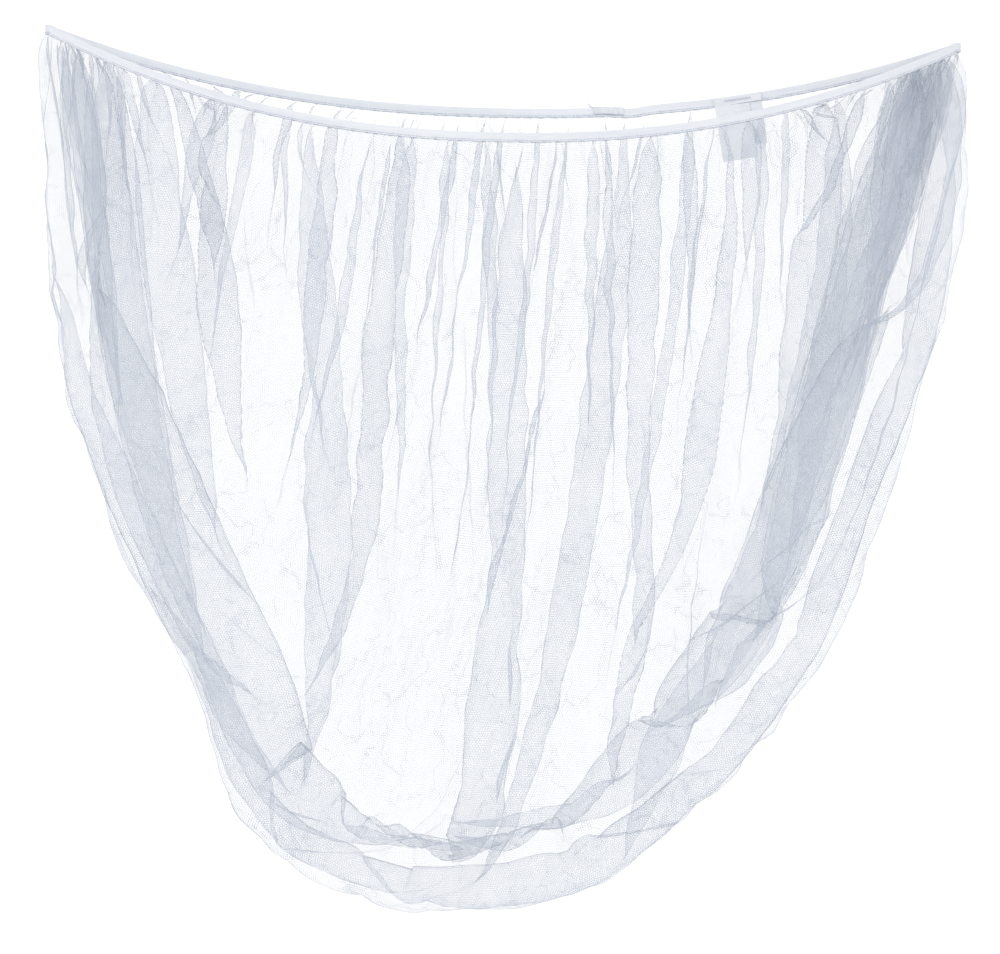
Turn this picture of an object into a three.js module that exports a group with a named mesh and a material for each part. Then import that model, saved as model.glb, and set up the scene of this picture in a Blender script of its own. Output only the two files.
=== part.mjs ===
// A fine insect net with an elastic rim, hung open by two points of its rim.
//
// One cloth of hexagonal net is gathered along its whole edge into a narrow folded tape that holds a
// flat elastic. Hung from two pegs inside the rim, it falls as a deep flat bag: the back run of the rim
// sags a little between the pegs, the front run sags more and stands forward, and the mouth is the gap
// between them. A two-leaf care label is sewn inside the back run, and the tape's ends lap beside it.
//
// Millimetres. +X from the left peg to the right peg, +Y to the back, +Z up. The origin is halfway
// between the two pegs, at the middle of the tape's height there.

import * as THREE from 'three';
import { mergeVertices } from 'three/addons/utils/BufferGeometryUtils.js';

// Hanging: the pegs and the two runs of the rim between them.
const PEG_SPAN = 650; // between the two peg seats, which are the inner faces of the rim's turns
const TURN_WIDTH = 9; // between the middles of the front and back runs where they leave a turn
const SEAT_WIDTH = 4; // of a turn's flat end, along its middle line
const BACK_SAG = 52;
const FRONT_SAG = 72;
const BACK_BOW = 20; // how far a run stands out from the line between the pegs
const FRONT_BOW = 34;
const SAG_POWER = 2.2; // a run is a little fuller than a parabola, whose power is 2

// The rim: folded tape with a flat elastic inside it.
const TAPE_HEIGHT = 6.8;
const TAPE_WALL = 0.5;
const ELASTIC_HEIGHT = 4.6;
const ELASTIC_THICK = 0.8;
const ELASTIC_CLEARANCE = 0.3; // to the tape's walls and to its fold
const CUT_FROM_SEAT = 10; // from a peg seat to the place where a turn ends and a run starts
const GAP = 0.3; // between any two pieces that touch

// Sewing thread.
const THREAD = 0.4;
const SEAM_HEIGHT = 1.3; // from the tape's lower edge up to the seam

// The lap of the tape's two ends, on the back run, and the zigzag that closes it.
const LAP_X = 77;
const LAP_LENGTH = 22;
const LAP_TACK = { width: 3.4, pitch: 2.2, stitches: 8, tail: [-7, 3.4] };

// The care label, on the inner face of the back run.
const LABEL_X = 165;
const LABEL_WIDTH = 25;
const LABEL_LENGTH = 40; // of the front leaf, below the sewn head
const LABEL_THICK = 0.6;
const LABEL_HEAD = 6; // height of the sewn head, down from the tape's top edge
const BACK_LEAF_SHIFT = 9;
const BACK_LEAF_SHORTER = 9;
const LABEL_TACK = { width: 1.2, pitch: 2.4, stitches: 8 };

// The net. Its outline is drawn in shares of half the peg span and of the drop, from the pegs down.
const NET_WALL = 1.2;
const DROP = 627; // from the pegs to the lowest point
const BELLY_FRONT = 20; // added to the bag's depth at its middle
const BELLY_BACK = 24;
const FOOT = [[-0.49, -0.93], [-0.345, -0.978], [-0.14, -1], [0.075, -0.992], [0.25, -0.962], [0.36, -0.922]];
const LEFT_SIDE = [[-1.02, -0.05], [-0.99, -0.25], [-0.95, -0.42], [-0.755, -0.67], [-0.61, -0.85], FOOT[0]];
const RIGHT_UPPER = [[1.028, -0.05], [1.025, -0.2], [0.975, -0.345], [0.9, -0.495]];
const RIGHT_SIDE = [...RIGHT_UPPER, [0.775, -0.68], [0.55, -0.84], FOOT[5]];

// How finely curves are cut.
const RUN_STEPS = 36;
const LAP_STEPS = 4;
const NET_COLUMNS = 20;
const NET_ROWS = 14;

const HALF_SPAN = PEG_SPAN / 2;
const TAPE_INSIDE = ELASTIC_THICK + 2 * ELASTIC_CLEARANCE;
const TAPE_THICK = TAPE_INSIDE + 2 * TAPE_WALL;
const TAPE_TOP = TAPE_HEIGHT / 2;
const SEAM_BOTTOM = SEAM_HEIGHT - TAPE_TOP;
const RIM_HALF = HALF_SPAN + TAPE_THICK / 2; // to the middle of the tape behind a peg seat
const CUT_X = HALF_SPAN - CUT_FROM_SEAT;
const UP = new THREE.Vector3(0, 0, 1);

const LOOKS = {
  tape: { color: 0xe9edf3, roughness: 0.75 },
  elastic: { color: 0xf2f2f0, roughness: 0.85 },
  thread: { color: 0xe2e7ef, roughness: 0.6 },
  label: { color: 0xe6ebf1, roughness: 0.5 },
  net: { color: 0xdde4ed, roughness: 0.9 },
};

const part = new THREE.Group();

function addMesh(parent, name, geometry, look) {
  geometry.deleteAttribute('normal');
  geometry.deleteAttribute('uv');
  const material = new THREE.MeshStandardMaterial({ ...LOOKS[look], metalness: 0 });
  const mesh = new THREE.Mesh(mergeVertices(geometry, 1e-4), material);
  mesh.name = name;
  parent.add(mesh);
}

// --- the rim's middle line ---------------------------------------------------------------------------

// How much of its full sag and bow a run has at x.
const fullness = (x) => 1 - Math.abs(x / HALF_SPAN) ** SAG_POWER;

function frontPoint(x) {
  return new THREE.Vector3(x, -TURN_WIDTH / 2 - FRONT_BOW * fullness(x), -FRONT_SAG * fullness(x));
}

function backPoint(x) {
  return new THREE.Vector3(x, TURN_WIDTH / 2 + BACK_BOW * fullness(x), -BACK_SAG * fullness(x));
}

function runPath(pointAt, fromX, toX, steps) {
  return Array.from({ length: steps + 1 }, (_, i) => pointAt(THREE.MathUtils.lerp(fromX, toX, i / steps)));
}

// One end of the rim, from the front run's cut round the peg seat to the back run's cut. side is -1 at
// the left peg and 1 at the right.
function turnPath(side) {
  const cut = side * (CUT_X + GAP / 2);
  const seat = side * RIM_HALF;
  const shoulder = side * (RIM_HALF - (TURN_WIDTH - SEAT_WIDTH) / 2);
  return [
    frontPoint(cut),
    new THREE.Vector3(shoulder, -TURN_WIDTH / 2, 0),
    new THREE.Vector3(seat, -SEAT_WIDTH / 2, 0),
    new THREE.Vector3(seat, SEAT_WIDTH / 2, 0),
    new THREE.Vector3(shoulder, TURN_WIDTH / 2, 0),
    backPoint(cut),
  ];
}

// --- solids that follow a path -----------------------------------------------------------------------

const levelDirection = (from, to) => new THREE.Vector3(to.x - from.x, to.y - from.y, 0).normalize();

// The level direction to the left of a path at one of its points. At a corner it is lengthened, so that
// the section keeps its width round it. At an end it lies along Y, so that every cut is square to X.
function leftOf(path, i) {
  if (i === 0 || i === path.length - 1) {
    const along = levelDirection(path[Math.max(i - 1, 0)], path[Math.min(i + 1, path.length - 1)]);
    return new THREE.Vector3(0, Math.sign(along.x), 0);
  }
  const before = levelDirection(path[i - 1], path[i]);
  const after = levelDirection(path[i], path[i + 1]);
  const along = before.clone().add(after).normalize();
  const left = new THREE.Vector3().crossVectors(UP, along);
  return left.multiplyScalar(1 / along.dot(after));
}

// A section, drawn with X to the path's left and Y up, carried upright along the path. It is extruded
// straight, with one step for each stretch of the path, and then laid onto it.
function sweep(section, path) {
  const steps = path.length - 1;
  const geometry = new THREE.ExtrudeGeometry(section, { depth: steps, steps, bevelEnabled: false });
  const lefts = path.map((_, i) => leftOf(path, i));
  const position = geometry.getAttribute('position');
  const drawn = new THREE.Vector3();
  for (let i = 0; i < position.count; i++) {
    drawn.fromBufferAttribute(position, i);
    const step = Math.round(drawn.z);
    const placed = path[step].clone().addScaledVector(lefts[step], drawn.x).addScaledVector(UP, drawn.y);
    position.setXYZ(i, placed.x, placed.y, placed.z);
  }
  return geometry;
}

const polygon = (points) => new THREE.Shape(points.map(([x, y]) => new THREE.Vector2(x, y)));
const rectangle = (x0, y0, x1, y1) => polygon([[x0, y0], [x1, y0], [x1, y1], [x0, y1]]);

// A fold of tape, open along its lower edge.
function foldSection(inside, top, bottom) {
  const outside = inside / 2 + TAPE_WALL;
  return polygon([
    [-outside, bottom],
    [-inside / 2, bottom],
    [-inside / 2, top - TAPE_WALL],
    [inside / 2, top - TAPE_WALL],
    [inside / 2, bottom],
    [outside, bottom],
    [outside, top],
    [-outside, top],
  ]);
}

// --- the rim -----------------------------------------------------------------------------------------

const tapeSection = () => foldSection(TAPE_INSIDE, TAPE_TOP, -TAPE_TOP);

function elasticSection() {
  const top = TAPE_TOP - TAPE_WALL - ELASTIC_CLEARANCE;
  return rectangle(-ELASTIC_THICK / 2, top - ELASTIC_HEIGHT, ELASTIC_THICK / 2, top);
}

// The seam's thread lies on the face of the tape that is on the given side of the path.
function seamSection(side) {
  const near = TAPE_THICK / 2 + GAP;
  const x0 = side > 0 ? near : -near - THREAD;
  return rectangle(x0, SEAM_BOTTOM, x0 + THREAD, SEAM_BOTTOM + THREAD);
}

function addRun(name, pointAt, outward) {
  const end = CUT_X - GAP / 2;
  const path = runPath(pointAt, -end, end, RUN_STEPS);
  addMesh(part, `tape_${name}_run`, sweep(tapeSection(), path), 'tape');
  addMesh(part, `elastic_${name}_run`, sweep(elasticSection(), path), 'elastic');
  addMesh(part, `seam_${name}_run`, sweep(seamSection(outward), path), 'thread');
}

function addTurn(name, side) {
  const path = turnPath(side);
  addMesh(part, `tape_${name}_turn`, sweep(tapeSection(), path), 'tape');
  addMesh(part, `elastic_${name}_turn`, sweep(elasticSection(), path), 'elastic');
  addMesh(part, `seam_${name}_turn`, sweep(seamSection(-side), path), 'thread');
}

// --- sewn details on the back run --------------------------------------------------------------------

// A group whose X runs along the back run at x, whose Y points across it to the back and whose origin is
// the middle of the tape.
function onBackRun(x) {
  const along = backPoint(x + 1).sub(backPoint(x - 1)).normalize();
  const across = new THREE.Vector3().crossVectors(UP, along).normalize();
  const upward = new THREE.Vector3().crossVectors(along, across);
  const group = new THREE.Group();
  group.quaternion.setFromRotationMatrix(new THREE.Matrix4().makeBasis(along, across, upward));
  group.position.copy(backPoint(x));
  part.add(group);
  return group;
}

// A zigzag of thread lying flat, in X and Z about the origin, THREAD thick towards -Y. tail is where its
// loose end reaches, from its first stitch.
function zigzag({ width, pitch, stitches, tail }) {
  const line = [];
  for (let i = 0; i <= stitches; i++) {
    line.push([(i - stitches / 2) * pitch, (i % 2 ? 0.5 : -0.5) * width]);
  }
  if (tail) line.unshift([line[0][0] + tail[0], line[0][1] + tail[1]]);
  const half = (THREAD / 2) * Math.hypot(1, width / pitch);
  const under = line.map(([x, z]) => [x, z - half]);
  const over = line.map(([x, z]) => [x, z + half]);
  const outline = polygon([...under, ...over.reverse()]);
  const geometry = new THREE.ExtrudeGeometry(outline, { depth: THREAD, bevelEnabled: false });
  return geometry.rotateX(Math.PI / 2);
}

function addLap() {
  const path = runPath(backPoint, LAP_X - LAP_LENGTH / 2, LAP_X + LAP_LENGTH / 2, LAP_STEPS);
  const inside = TAPE_THICK + 2 * GAP;
  const bottom = SEAM_BOTTOM + THREAD + GAP;
  const top = TAPE_TOP + GAP + TAPE_WALL;
  addMesh(part, 'tape_lap', sweep(foldSection(inside, top, bottom), path), 'tape');
  const tack = zigzag(LAP_TACK);
  tack.translate(0, -(inside / 2 + TAPE_WALL + GAP), (top + bottom) / 2);
  addMesh(onBackRun(LAP_X), 'lap_tack', tack, 'thread');
}

function addLabel() {
  const group = onBackRun(LABEL_X);
  const leaf = (name, width, height, thick, x, back, top) => {
    const geometry = new THREE.BoxGeometry(width, thick, height);
    geometry.translate(x, back - thick / 2, top - height / 2);
    addMesh(group, name, geometry, 'label');
  };
  const back = -TAPE_THICK / 2 - GAP; // the label's own back face, just off the tape
  const headThick = 2 * LABEL_THICK + GAP;
  const headBottom = TAPE_TOP - LABEL_HEAD;
  const leafTop = headBottom - GAP;
  const headWidth = LABEL_WIDTH + BACK_LEAF_SHIFT;
  leaf('label_head', headWidth, LABEL_HEAD, headThick, BACK_LEAF_SHIFT / 2, back, TAPE_TOP);
  leaf('label_front_leaf', LABEL_WIDTH, LABEL_LENGTH, LABEL_THICK, 0, back - LABEL_THICK - GAP, leafTop);
  const backLength = LABEL_LENGTH - BACK_LEAF_SHORTER;
  leaf('label_back_leaf', LABEL_WIDTH, backLength, LABEL_THICK, BACK_LEAF_SHIFT, back, leafTop);
  const tack = zigzag(LABEL_TACK);
  tack.translate(BACK_LEAF_SHIFT / 2, back - headThick - GAP, TAPE_TOP - LABEL_HEAD / 2);
  addMesh(group, 'label_tack', tack, 'thread');
}

// --- the net -----------------------------------------------------------------------------------------

// A curve of the outline, in mm, through points given in shares of half the span and of the drop.
function outlineCurve(shares, start) {
  const points = shares.map(([x, z]) => new THREE.Vector2(x * HALF_SPAN, z * DROP));
  return new THREE.SplineCurve(start ? [start, ...points] : points);
}

// A patch's value at u across and v down, blended from its four edges, which meet at its corners.
function blendEdges(top, foot, left, right, u, v) {
  const between = THREE.MathUtils.lerp;
  const corners = between(between(top(0), top(1), u), between(foot(0), foot(1), u), v);
  return between(top(u), foot(u), v) + between(left(v), right(v), u) - corners;
}

// One wall of the bag, as a function of u across, v down and w from 0 on its inner face to 1 on its
// outer face. It starts just under its run of the rim and meets the other wall along the outline.
function netWall(pointAt, outward, belly) {
  const topX = (s) => THREE.MathUtils.lerp(-HALF_SPAN, HALF_SPAN, s);
  const topZ = (s) => pointAt(topX(s)).z - TAPE_TOP - GAP;
  const left = outlineCurve(LEFT_SIDE, new THREE.Vector2(topX(0), topZ(0)));
  const right = outlineCurve(RIGHT_SIDE, new THREE.Vector2(topX(1), topZ(1)));
  const foot = outlineCurve(FOOT);
  const edges = (top, axis) => [
    top,
    (s) => foot.getPointAt(s)[axis],
    (s) => left.getPointAt(s)[axis],
    (s) => right.getPointAt(s)[axis],
  ];
  const acrossEdges = edges(topX, 'x');
  const downEdges = edges(topZ, 'y');
  const meeting = (NET_WALL + GAP) / 2; // from the outline's plane to the wall's middle where they meet
  const sideDepth = (s) => meeting + (TURN_WIDTH / 2 - meeting) * (1 - s) ** 6;
  const topDepth = (s) => Math.abs(pointAt(topX(s)).y);
  return (u, v, w) => {
    const depth = blendEdges(topDepth, () => meeting, sideDepth, sideDepth, u, v)
      + belly * 16 * u * (1 - u) * v * (1 - v);
    return new THREE.Vector3(
      blendEdges(...acrossEdges, u, v),
      outward * (depth + (w - 0.5) * NET_WALL),
      blendEdges(...downEdges, u, v),
    );
  };
}

function addNetWall(name, pointAt, outward, belly) {
  const wallPoint = netWall(pointAt, outward, belly);
  const geometry = new THREE.BoxGeometry(1, 1, 1, NET_COLUMNS, 1, NET_ROWS);
  geometry.translate(0.5, 0.5, 0.5);
  const position = geometry.getAttribute('position');
  for (let i = 0; i < position.count; i++) {
    const w = outward > 0 ? position.getY(i) : 1 - position.getY(i);
    const placed = wallPoint(position.getX(i), 1 - position.getZ(i), w);
    position.setXYZ(i, placed.x, placed.y, placed.z);
  }
  addMesh(part, name, geometry, 'net');
}

addRun('front', frontPoint, -1);
addRun('back', backPoint, 1);
addTurn('left', -1);
addTurn('right', 1);
addLap();
addLabel();
addNetWall('net_front_wall', frontPoint, -1, BELLY_FRONT);
addNetWall('net_back_wall', backPoint, 1, BELLY_BACK);

export default part;
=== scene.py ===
import math

import bpy
import numpy as np
from mathutils import Matrix, Vector


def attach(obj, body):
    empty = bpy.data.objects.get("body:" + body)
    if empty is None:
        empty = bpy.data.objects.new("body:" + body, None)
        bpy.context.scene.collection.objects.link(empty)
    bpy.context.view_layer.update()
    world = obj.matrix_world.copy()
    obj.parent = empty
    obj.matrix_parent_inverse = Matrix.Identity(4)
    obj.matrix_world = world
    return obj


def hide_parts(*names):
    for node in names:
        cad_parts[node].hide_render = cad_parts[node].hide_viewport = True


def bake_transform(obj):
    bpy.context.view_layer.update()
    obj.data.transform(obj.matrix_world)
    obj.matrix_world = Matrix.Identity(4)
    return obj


bl_info = {
    "name": "Insect net with elastic rim",
    "version": (1, 0, 0),
    "blender": (4, 5, 0),
    "location": "3D View > Sidebar > Net",
    "description": "Hangs a gathered insect net from two pegs, with its taped rim, seam, lap and care label",
    "category": "Object",
}

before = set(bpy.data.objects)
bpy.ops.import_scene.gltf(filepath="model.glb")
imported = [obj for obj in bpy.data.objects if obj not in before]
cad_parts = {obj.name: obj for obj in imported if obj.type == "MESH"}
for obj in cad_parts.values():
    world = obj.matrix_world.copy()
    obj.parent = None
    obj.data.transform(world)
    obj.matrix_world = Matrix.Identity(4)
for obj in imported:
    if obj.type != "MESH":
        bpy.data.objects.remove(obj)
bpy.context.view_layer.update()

# Metres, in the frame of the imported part: +X from the left peg to the right one, +Y to the back, +Z up.
HALF_SPAN = 0.325
TURN_HALF_WIDTH = 0.0045
FRONT_SAG, BACK_SAG = 0.072, 0.052
FRONT_BOW, BACK_BOW = 0.034, 0.020
SAG_POWER = 2.2
RIM_HALF = 0.3262  # from the origin to the tape's middle line behind a peg
RIM_STEPS = 1600

TAPE_HEIGHT = 0.0068
TAPE_WALL = 0.0005
TAPE_INSIDE = 0.0014
TAPE_TOP = TAPE_HEIGHT / 2
ELASTIC_HEIGHT, ELASTIC_THICK = 0.0046, 0.0008
ELASTIC_MIDDLE = 0.0003  # of the elastic, above the tape's middle
SEAM_LEVEL = -0.0019
STITCH_PITCH = 0.0027
THREAD_RADIUS = 0.0002
GAP = 0.0003

LAP_X, LAP_LENGTH = 0.077, 0.022
LAP_DIP, LAP_DIP_X, LAP_DIP_WIDTH = 0.0017, 0.092, 0.012
LABEL_X = 0.165
LABEL_WIDTH, LABEL_LENGTH, LABEL_THICK = 0.025, 0.040, 0.0006
LABEL_HEAD = 0.006
BACK_LEAF_SHIFT, BACK_LEAF_SHORTER = 0.009, 0.009
# How far each leaf's foot curls to the front, as a negative number, and leans to the right.
FRONT_LEAF_BEND = (-0.0022, 0.0008)
BACK_LEAF_BEND = (-0.0009, -0.0004)

# The net's flat cut, and how round its corners are: 0 is square and 1 an ellipse.
CUT_WIDTH, CUT_LENGTH = 1.60, 1.30
CORNER_ROUND = 0.75
BUNCH_LEFT, BUNCH_RIGHT = 0.07, 0.16  # how far inside the outline the surplus net of the cut's corners hangs
PIN_LEVEL = -0.0024  # of the net's edge inside the tape, below the tape's middle
PIN_PUCKER = 0.0005
NET_FRONT, NET_BACK = -0.048, 0.044  # how far the net may stand out
UV_SPAN = 1.7  # metres across the whole UV square

# The hanging net's outline, from the left peg down and round to the right peg.
OUTLINE = [
    (-0.333, 0.000), (-0.331, -0.031), (-0.3255, -0.090), (-0.3215, -0.157), (-0.3095, -0.263),
    (-0.281, -0.342), (-0.2445, -0.420), (-0.2145, -0.474), (-0.2030, -0.512), (-0.1950, -0.541),
    (-0.159, -0.583), (-0.112, -0.613), (-0.047, -0.627), (0.025, -0.622), (0.081, -0.604),
    (0.117, -0.578), (0.180, -0.526), (0.2505, -0.430), (0.2925, -0.312), (0.3165, -0.216),
    (0.3335, -0.125), (0.3345, -0.031), (0.332, 0.000),
]
OUTLINE_CENTRE = (0.0, -0.25)
# The pleats' lines: distance from the lowest fold on the cut, distance inside the outline, and depth.
SWAGS = ((-0.080, 0.078, -0.010), (-0.113, 0.047, -0.016), (0.032, 0.036, 0.010), (0.068, 0.006, 0.015))


# --- the rim's middle line -----------------------------------------------------------------------


def fullness(x):
    """How much of its full sag and bow a run has at x."""
    return 1 - np.abs(np.clip(x / HALF_SPAN, -1, 1)) ** SAG_POWER


def run_points(x, side):
    """Points of the front run (side -1) or the back run (side 1) at x."""
    full = fullness(x)
    if side < 0:
        return np.stack([x, -TURN_HALF_WIDTH - FRONT_BOW * full, -FRONT_SAG * full], -1)
    dip = LAP_DIP * np.exp(-(((x - LAP_DIP_X) / LAP_DIP_WIDTH) ** 2))
    return np.stack([x, TURN_HALF_WIDTH + BACK_BOW * full, -BACK_SAG * full - dip], -1)


def along_loop(points, count):
    """A closed line's points again, evenly spaced, with their distances along it."""
    closed = np.concatenate([points, points[:1]])
    run = np.r_[0, np.cumsum(np.linalg.norm(np.diff(closed, axis=0), axis=1))]
    at = np.linspace(0, run[-1], count + 1)[:-1]
    return np.stack([np.interp(at, run, closed[:, axis]) for axis in range(3)], -1)


def make_rim():
    """The rim's middle line as a loop from the left peg, front run first, and the distances along it."""
    straight = RIM_HALF - TURN_HALF_WIDTH
    x = np.linspace(-straight, straight, 700)
    turn = np.linspace(-math.pi / 2, math.pi / 2, 24)[1:-1]
    right = np.stack(
        [straight + TURN_HALF_WIDTH * np.cos(turn), TURN_HALF_WIDTH * np.sin(turn), 0 * turn], -1
    )
    left = -right
    loop = np.concatenate([run_points(x, -1), right, run_points(x[::-1], 1), left])
    loop = np.roll(loop, len(left) // 2, axis=0)
    loop = along_loop(loop, RIM_STEPS)
    weights = np.array([1, 4, 6, 4, 1]) / 16
    for _ in range(2):
        loop = sum(w * np.roll(loop, k - 2, axis=0) for k, w in enumerate(weights))
    loop = np.roll(loop, -int(np.argmin(loop[:, 0])), axis=0)
    closed = np.concatenate([loop, loop[:1]])
    run = np.r_[0, np.cumsum(np.linalg.norm(np.diff(closed, axis=0), axis=1))]
    return closed, run


RIM, RIM_RUN = make_rim()
RIM_LENGTH = RIM_RUN[-1]
RIGHT_PEG = RIM_RUN[int(np.argmax(RIM[:, 0]))]


def rim_at(distance):
    """Points of the rim's middle line at these distances from the left peg."""
    return np.stack([np.interp(distance, RIM_RUN, RIM[:, axis]) for axis in range(3)], -1)


def back_run_distance(x):
    """How far along the rim its back run reaches x."""
    later = RIM_RUN > RIGHT_PEG
    return float(np.interp(-x, -RIM[later, 0], RIM_RUN[later]))


# --- the net's drape -----------------------------------------------------------------------------


def waves(rng, count, low, high):
    """Random waves along one direction: their counts, phases and sizes, as one list."""
    sizes = rng.normal(size=count)
    return [(rng.uniform(low, high), rng.uniform(0, math.tau), size / math.sqrt(count / 2)) for size in sizes]


def kinked(angle):
    """A wave of straight lines, which turn sharply where a sine would be at its ends."""
    return np.arcsin(np.sin(angle)) * (2 / math.pi)


def flat_cut(columns, rows):
    """The net's flat cut as a grid of points in metres, with its corners rounded."""
    u = np.linspace(-1, 1, columns)[:, None]
    v = np.linspace(-1, 1, rows)[None, :]
    x = CUT_WIDTH / 2 * u * np.sqrt(1 - CORNER_ROUND * v * v / 2) + 0 * v
    y = CUT_LENGTH / 2 * v * np.sqrt(1 - CORNER_ROUND * u * u / 2) + 0 * u
    return np.stack([x, y], -1)


def edge_of_grid(columns, rows):
    """The grid's edge, in order from the middle of its left side by its front, right and back."""
    middle = rows // 2
    edge = [(0, j) for j in range(middle, -1, -1)]
    edge += [(i, 0) for i in range(1, columns)]
    edge += [(columns - 1, j) for j in range(1, rows)]
    edge += [(i, rows - 1) for i in range(columns - 2, -1, -1)]
    edge += [(0, j) for j in range(rows - 2, middle, -1)]
    return np.array(edge)


def gathering():
    """How far along the rim each share of the net's edge is sewn. The net is crowded at the pegs, and in
    handfuls between them, which are less even on the front run. Returns (share of the edge, of the rim)."""
    rng = np.random.default_rng(11)
    rim_share = np.linspace(0, 1, 1401)
    at = rim_share * RIM_LENGTH
    right = RIGHT_PEG
    crowd = 0.8 + 4.6 * np.exp(-(((at - right + 0.024) / 0.016) ** 2))
    crowd += 3.6 * np.exp(-(((at - right - 0.028) / 0.018) ** 2))
    crowd += 1.6 * np.exp(-(((at - 0.034) / 0.022) ** 2))
    crowd += 1.3 * np.exp(-(((at - RIM_LENGTH + 0.034) / 0.024) ** 2))
    handful = sum(size * np.sin(math.tau * round(count) * rim_share + phase)
                  for count, phase, size in waves(rng, 16, 18, 64))
    crowd *= np.exp(np.where(at < right, 0.55, 0.15) * handful)
    edge_share = np.r_[0, np.cumsum((crowd[1:] + crowd[:-1]) / 2)]
    return edge_share / edge_share[-1], rim_share


def pin_places(flat, edge):
    """Where each point of the net's edge is sewn into the rim."""
    line = flat[edge[:, 0], edge[:, 1]]
    step = np.linalg.norm(np.roll(line, -1, 0) - line, axis=1)
    share = np.r_[0, np.cumsum(step)[:-1]] / step.sum()
    edge_share, rim_share = gathering()
    places = rim_at(np.interp(share, edge_share, rim_share) * RIM_LENGTH)
    places[:, 2] += PIN_LEVEL
    places[:, 1] += PIN_PUCKER * (1 - 2 * (np.arange(len(edge)) % 2))
    return places


def first_bag(columns, rows):
    """A rough bag to start from: each ray from the cut's middle to its edge becomes a slack line from the
    bag's foot to the rim."""
    flat = flat_cut(columns, rows)
    edge = edge_of_grid(columns, rows)
    pins = pin_places(flat, edge)
    u = np.linspace(-1, 1, columns)[:, None] + np.zeros((1, rows))
    v = np.linspace(-1, 1, rows)[None, :] + np.zeros((columns, 1))
    out = np.maximum(np.abs(u), np.abs(v))
    angle = np.mod(np.arctan2(v, u) - math.pi, math.tau)
    edge_angle = np.mod(np.arctan2(v[tuple(edge.T)], u[tuple(edge.T)]) - math.pi, math.tau)
    edge_angle[0] = 0
    at = np.interp(angle.ravel(), np.r_[edge_angle, math.tau], np.arange(len(edge) + 1))
    before = np.floor(at).astype(int) % len(edge)
    after = (before + 1) % len(edge)
    part = (at - np.floor(at))[:, None]
    rim = (pins[before] * (1 - part) + pins[after] * part).reshape(columns, rows, 3)
    line = flat[edge[:, 0], edge[:, 1]]
    ray = (line[before] * (1 - part) + line[after] * part).reshape(columns, rows, 2)
    foot = np.array([-0.03, 0.0, -0.62])
    straight = np.linalg.norm(rim - foot, axis=-1)
    slack = np.maximum(np.linalg.norm(ray, axis=-1) / straight, 1.001)
    bulge = straight * np.sqrt(3 / 8 * (slack - 1))
    way = np.zeros((columns, rows, 3))
    way[..., 0] = np.sign(ray[..., 0]) * np.sqrt(np.abs(ray[..., 0] / (CUT_WIDTH / 2)))
    way[..., 2] = -0.5 * np.abs(way[..., 0])
    way /= np.maximum(np.linalg.norm(way, axis=-1, keepdims=True), 1e-6)
    share = out[..., None]
    bag = foot * (1 - share) + rim * share + way * (bulge * 4)[..., None] * share * (1 - share)
    bag[..., 1] += 0.08 * ray[..., 1] / (CUT_LENGTH / 2) * out * (1 - out)
    rng = np.random.default_rng(5)
    pleats = sum(size * np.sin(2 * count * angle + phase + 0.6 * drift * out)
                 for (count, phase, size), drift in zip(waves(rng, 14, 8, 40), rng.normal(size=14)))
    bag[..., 1] += 0.012 * pleats * np.clip((1 - out) * 14, 0, 1) * np.clip(out * 4, 0, 1)
    return bag


def outline_reach():
    """The outline as its distance from its centre, for each direction."""
    x, z = (np.array(OUTLINE) - OUTLINE_CENTRE).T
    angle = np.arctan2(x, -z)
    at = np.linspace(-math.pi, math.pi, 1441)
    reach = np.interp(at, angle, np.hypot(x, z), left=0.6, right=0.6)
    smooth = np.ones(9) / 9
    return at, np.convolve(np.pad(reach, 4, mode="edge"), smooth, mode="valid")


def lowest_fold(shares):
    """Places along the hanging outline, where the net turns from its front wall to its back one."""
    line = np.array([(x, 0, z) for x, z in OUTLINE])
    run = np.r_[0, np.cumsum(np.linalg.norm(np.diff(line, axis=0), axis=1))]
    at = np.interp(shares, [0, 1], [0, run[-1]])
    fold = np.stack([np.interp(at, run, line[:, axis]) for axis in range(3)], -1)
    for _ in range(3):
        fold[1:-1] = (fold[:-2] + 2 * fold[1:-1] + fold[2:]) / 4
    fold[:, 1] = 0.007 * np.sin(shares * 17) * np.sin(shares * math.pi)
    return fold


def swag_lines(shares):
    """The lines of the pleats that the surplus net hangs in, from peg to peg and above the lowest fold.
    Yields each one's distance from the fold on the cut, its places, the way inward, and how firmly it is
    kept there. The net can slide a little along it."""
    fold = lowest_fold(shares)
    along = np.gradient(fold, axis=0)
    along /= np.maximum(np.linalg.norm(along, axis=1, keepdims=True), 1e-9)
    inward = np.stack([-along[:, 2], 0 * shares, along[:, 0]], -1)
    room = np.clip(1.6 * np.sin(shares * math.pi), 0, 1)
    for number, (on_cut, inset, depth) in enumerate(SWAGS):
        uneven = 1 + 0.20 * np.sin(shares * 9 + 2.1 * number) + 0.07 * np.sin(shares * 23 + 4 * number)
        to_right = 1 + 0.35 * np.clip((shares - 0.55) / 0.2, 0, 1)
        line = fold + inward * (inset * uneven * to_right * room)[:, None]
        line[:, 1] = depth * room
        yield on_cut, line, inward, 0.14 * np.clip((room - 0.6) / 0.35, 0, 1)[:, None]


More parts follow.
